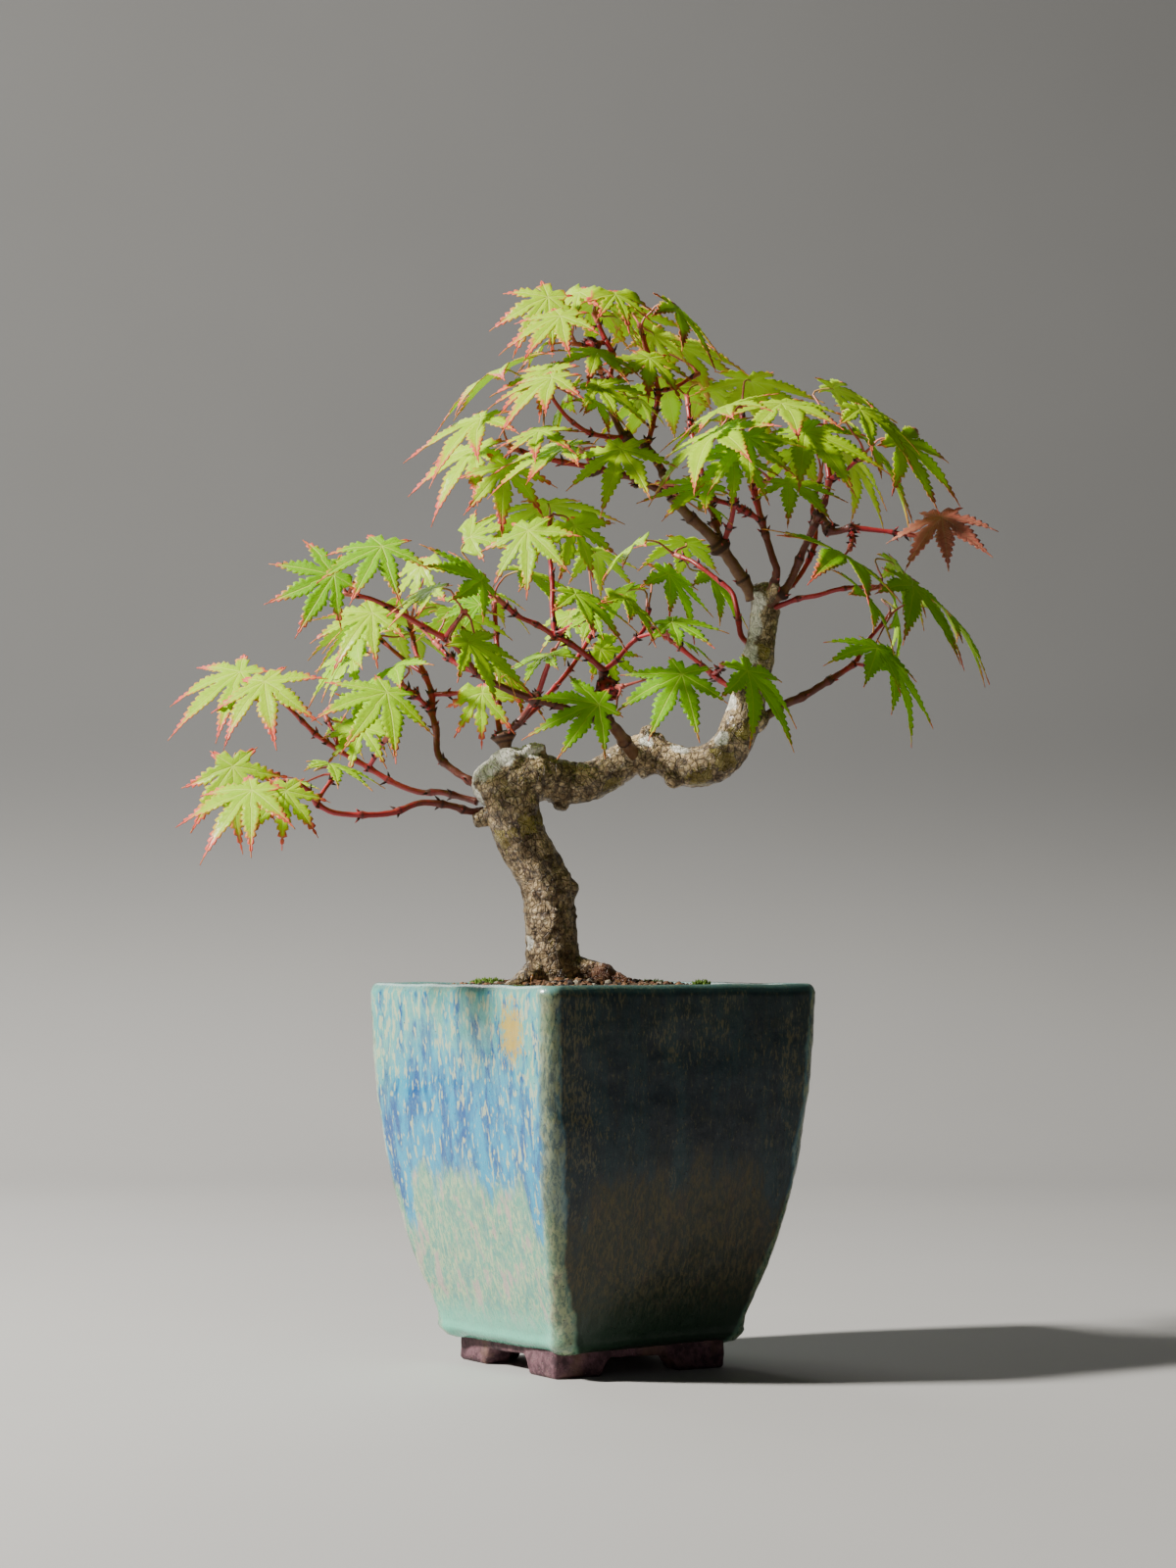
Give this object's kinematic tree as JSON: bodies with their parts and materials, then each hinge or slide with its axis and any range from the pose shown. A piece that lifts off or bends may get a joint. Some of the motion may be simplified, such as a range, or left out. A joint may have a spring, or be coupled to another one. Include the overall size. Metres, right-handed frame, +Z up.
{
  "type": "bonsai tree in pot",
  "caption": "Small trained Japanese maple with coral-red twigs and seven-lobed yellow-green leaves, growing in a tall square glazed pot on a notched foot ring.",
  "frame": {"origin": "on the ground, below the middle of the whole plant's bounding box", "axes": "+Z up along the tree; -Y towards the front of the tree, the side seen in the picture; +X to the right of that view"},
  "size_m": [0.3318, 0.1836, 0.4319],
  "materials": {
    "glaze": "gloss, run and mottled",
    "soil": "granular",
    "screen": "matte",
    "bark": "rough bark",
    "coral_bark": "smooth young bark",
    "leaf": "satin",
    "bronze_leaf": "satin"
  },
  "bodies": {
    "root": {"pot": "glaze", "soil": "soil", "drain_screen": "screen", "trunk": "bark", "limb_low_left": "coral_bark", "limb_mid_left": "coral_bark", "limb_upright_left": "coral_bark", "limb_inner": "coral_bark", "limb_center": "coral_bark", "limb_leader": "coral_bark", "limb_top_mid": "coral_bark", "limb_top_right": "coral_bark", "limb_right_mid": "coral_bark", "limb_right_low": "coral_bark", "limb_back_left": "coral_bark", "limb_low_back": "coral_bark", "shoot_low_left_tip": "leaf", "shoot_low_left_side": "leaf", "shoot_mid_left_tip": "leaf", "shoot_mid_left_mid": "leaf", "shoot_mid_left_inner": "leaf", "shoot_upright_left_tip": "leaf", "shoot_upright_left_front": "leaf", "shoot_upright_left_low": "leaf", "shoot_upright_left_back": "leaf", "shoot_inner_up": "leaf", "shoot_inner_front": "leaf", "shoot_inner_back": "leaf", "shoot_center_left_tip": "leaf", "shoot_center_riser": "leaf", "shoot_center_low_front": "leaf", "shoot_center_right": "leaf", "shoot_center_low": "leaf", "shoot_front_left_tip": "leaf", "shoot_front_left_mid": "leaf", "shoot_front_left_inner": "leaf", "shoot_leader_left_tip": "leaf", "shoot_leader_left_mid": "leaf", "shoot_apex_tip": "leaf", "shoot_apex_left": "leaf", "shoot_apex_front": "leaf", "shoot_apex_right": "leaf", "shoot_apex_far_right": "leaf", "shoot_upper_left": "leaf", "shoot_leader_back": "leaf", "shoot_leader_front": "leaf", "shoot_top_mid_tip": "leaf", "shoot_top_mid_left": "leaf", "shoot_top_mid_front": "leaf", "shoot_top_right_tip": "leaf", "shoot_right_shoulder": "leaf", "shoot_top_right_back": "leaf", "shoot_bronze": "bronze_leaf", "shoot_right_inner": "leaf", "shoot_right_mid_tip": "leaf", "shoot_right_low_tip": "leaf", "shoot_right_low_side": "leaf", "shoot_back_left_tip": "leaf", "shoot_low_back_tip": "leaf", "shoot_low_front": "leaf"}
  },
  "joints": []
}
